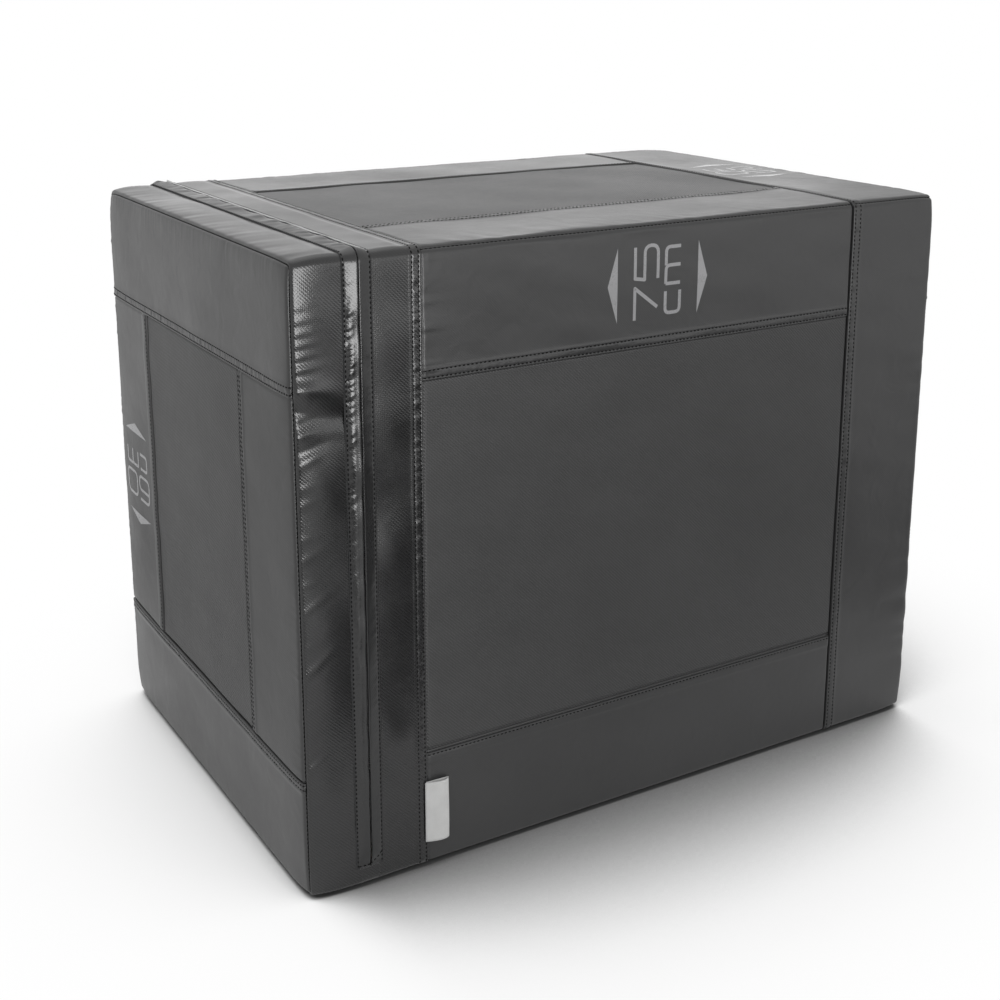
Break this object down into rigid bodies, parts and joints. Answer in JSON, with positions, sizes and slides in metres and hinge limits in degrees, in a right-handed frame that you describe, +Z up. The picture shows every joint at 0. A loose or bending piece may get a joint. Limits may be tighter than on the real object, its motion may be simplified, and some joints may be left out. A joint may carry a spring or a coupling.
{
  "type": "soft plyo box",
  "caption": "Soft jump box with a plywood core wrapped in foam, a dark sewn vinyl cover with woven centre panels and an end flap that opens on a zip.",
  "frame": {"origin": "centre of the base, on the floor", "axes": "+X along the length away from the zipped end, -Y towards the front, +Z up"},
  "size_m": [0.75, 0.5119, 0.6043],
  "materials": {
    "vinyl_band": "satin",
    "vinyl_panel": "matte",
    "zip_tape": "matte",
    "zip_coil": "satin",
    "zip_metal": "satin",
    "tag": "matte",
    "foam": "matte",
    "plywood": "matte"
  },
  "bodies": {
    "box_body": {"back_bottom_band": "vinyl_band", "back_centre_panel": "vinyl_panel", "back_right_band": "vinyl_band", "back_top_band": "vinyl_band", "body_gusset": "vinyl_band", "bottom_back_strip": "vinyl_band", "bottom_centre_panel": "vinyl_panel", "bottom_front_strip": "vinyl_band", "bottom_right_band": "vinyl_band", "core_back_panel": "plywood", "core_bottom_panel": "plywood", "core_brace": "plywood", "core_front_panel": "plywood", "core_left_panel": "plywood", "core_right_panel": "plywood", "core_top_panel": "plywood", "foam_back": "foam", "foam_bottom": "foam", "foam_front": "foam", "foam_left_end": "foam", "foam_right_end": "foam", "foam_top": "foam", "front_bottom_band": "vinyl_band", "front_centre_panel": "vinyl_panel", "front_right_band": "vinyl_band", "front_top_band": "vinyl_band", "hinge_band": "vinyl_band", "right_back_strip": "vinyl_band", "right_bottom_band": "vinyl_band", "right_centre_panel": "vinyl_panel", "right_front_strip": "vinyl_band", "right_top_band": "vinyl_band", "top_back_strip": "vinyl_band", "top_centre_panel": "vinyl_panel", "top_front_strip": "vinyl_band", "top_right_band": "vinyl_band", "woven_tag": "tag", "zip_coil_body": "zip_coil", "zip_lip_body": "vinyl_band", "zip_tape_body": "zip_tape"},
    "end_flap": {"flap_back_strip": "vinyl_band", "flap_bottom_band": "vinyl_band", "flap_centre_panel": "vinyl_panel", "flap_front_strip": "vinyl_band", "flap_gusset": "vinyl_band", "flap_top_band": "vinyl_band", "zip_tape_flap": "zip_tape", "zip_coil_flap": "zip_coil", "zip_lip_flap": "vinyl_band"},
    "slider": {"zip_slider": "zip_metal"},
    "pull": {"zip_pull": "zip_metal"}
  },
  "joints": [
    {"name": "flap_hinge", "type": "hinge", "parent": "box_body", "child": "end_flap", "pos_m": [-0.37266, 0, 0.00234], "axis": [0, -1, 0], "range_deg": [0, 90]},
    {"name": "zip_slide", "type": "slide", "parent": "box_body", "child": "slider", "axis": [0, 0, 1], "range_m": [0, 0.536], "deforming": ["zip_coil_body", "zip_coil_flap", "zip_lip_body", "zip_lip_flap"]},
    {"name": "pull_swing", "type": "hinge", "parent": "slider", "child": "pull", "pos_m": [-0.311, 0.2553, 0.046], "axis": [1, 0, 0], "range_deg": [0, 160]}
  ]
}
